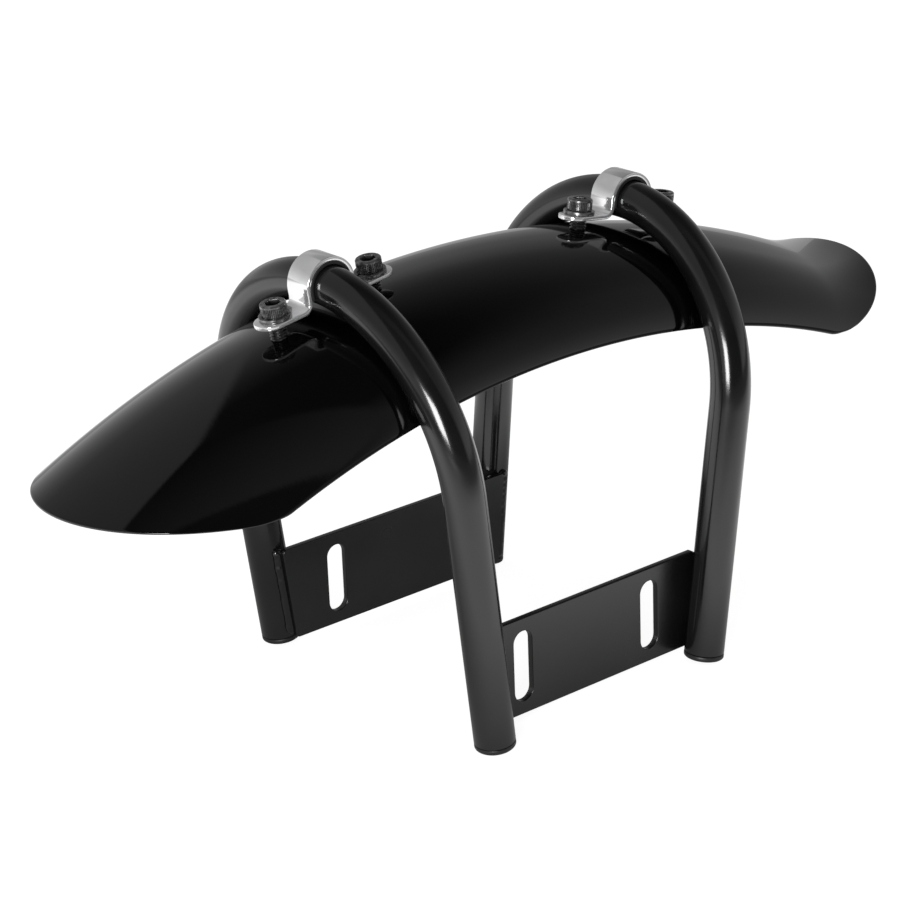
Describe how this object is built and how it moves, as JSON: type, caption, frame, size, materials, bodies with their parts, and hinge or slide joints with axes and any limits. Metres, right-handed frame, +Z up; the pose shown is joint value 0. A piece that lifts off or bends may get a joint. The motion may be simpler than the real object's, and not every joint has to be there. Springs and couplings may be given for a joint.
{
  "type": "motorcycle front fender",
  "caption": "Motorcycle front fender: a gloss black arched blade hung by chrome saddle clamps from two black tube hoops with slotted side plates.",
  "frame": {"origin": "on the floor under the middle of the part, where the hoop legs stand", "axes": "+X towards the blade's nose, +Y to the left as the rider sits, +Z up"},
  "size_m": [0.4757, 0.183, 0.2194],
  "materials": {
    "gloss_black": "gloss",
    "satin_black": "satin",
    "bright_chrome": "polished",
    "black_rubber": "matte",
    "black_plastic": "satin",
    "dark_steel": "satin"
  },
  "bodies": {
    "root": {"fender_blade": "gloss_black", "front_hoop": "satin_black", "front_clamp": "bright_chrome", "front_clamp_liner": "black_rubber", "front_left_plug": "black_plastic", "front_right_plug": "black_plastic", "front_fore_screw": "dark_steel", "front_fore_lock_washer": "dark_steel", "front_fore_washer": "dark_steel", "front_fore_nut": "dark_steel", "front_aft_screw": "dark_steel", "front_aft_lock_washer": "dark_steel", "front_aft_washer": "dark_steel", "front_aft_nut": "dark_steel", "rear_hoop": "satin_black", "rear_clamp": "bright_chrome", "rear_clamp_liner": "black_rubber", "rear_left_plug": "black_plastic", "rear_right_plug": "black_plastic", "rear_fore_screw": "dark_steel", "rear_fore_lock_washer": "dark_steel", "rear_fore_washer": "dark_steel", "rear_fore_nut": "dark_steel", "rear_aft_screw": "dark_steel", "rear_aft_lock_washer": "dark_steel", "rear_aft_washer": "dark_steel", "rear_aft_nut": "dark_steel", "left_plate": "satin_black", "right_plate": "satin_black"}
  },
  "joints": []
}
